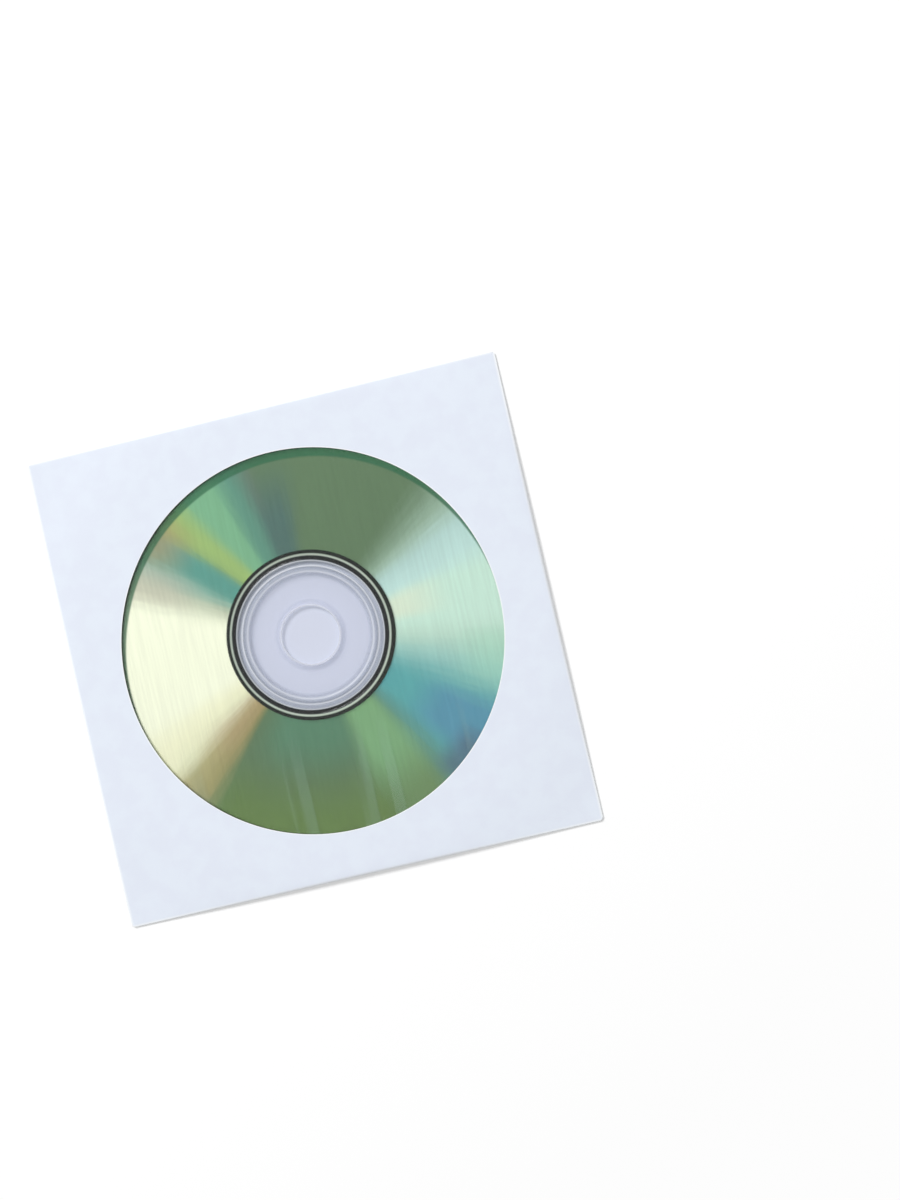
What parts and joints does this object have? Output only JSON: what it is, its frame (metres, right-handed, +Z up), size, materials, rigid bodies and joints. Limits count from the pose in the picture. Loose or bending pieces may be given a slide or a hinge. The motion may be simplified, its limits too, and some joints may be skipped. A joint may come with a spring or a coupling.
{
  "type": "cd sleeve",
  "caption": "Square folded-paper disc sleeve with a round film window and a flap folded behind, closed, with one optical disc inside.",
  "frame": {"origin": "middle of the underside of the closed sleeve, which lies on its back", "axes": "+X across the sleeve, +Y to the edge with the folded flap, +Z up through the window"},
  "size_m": [0.126, 0.124, 0.0018],
  "materials": {
    "white_paper": "matt uncoated",
    "clear_film": "clear gloss",
    "clear_plate": "clear polished",
    "recording_layer": "green tinted mirror"
  },
  "bodies": {
    "root": {"paper_sleeve": "white_paper", "window_film": "clear_film", "disc_substrate": "clear_plate", "disc_recording_layer": "recording_layer"}
  },
  "joints": []
}
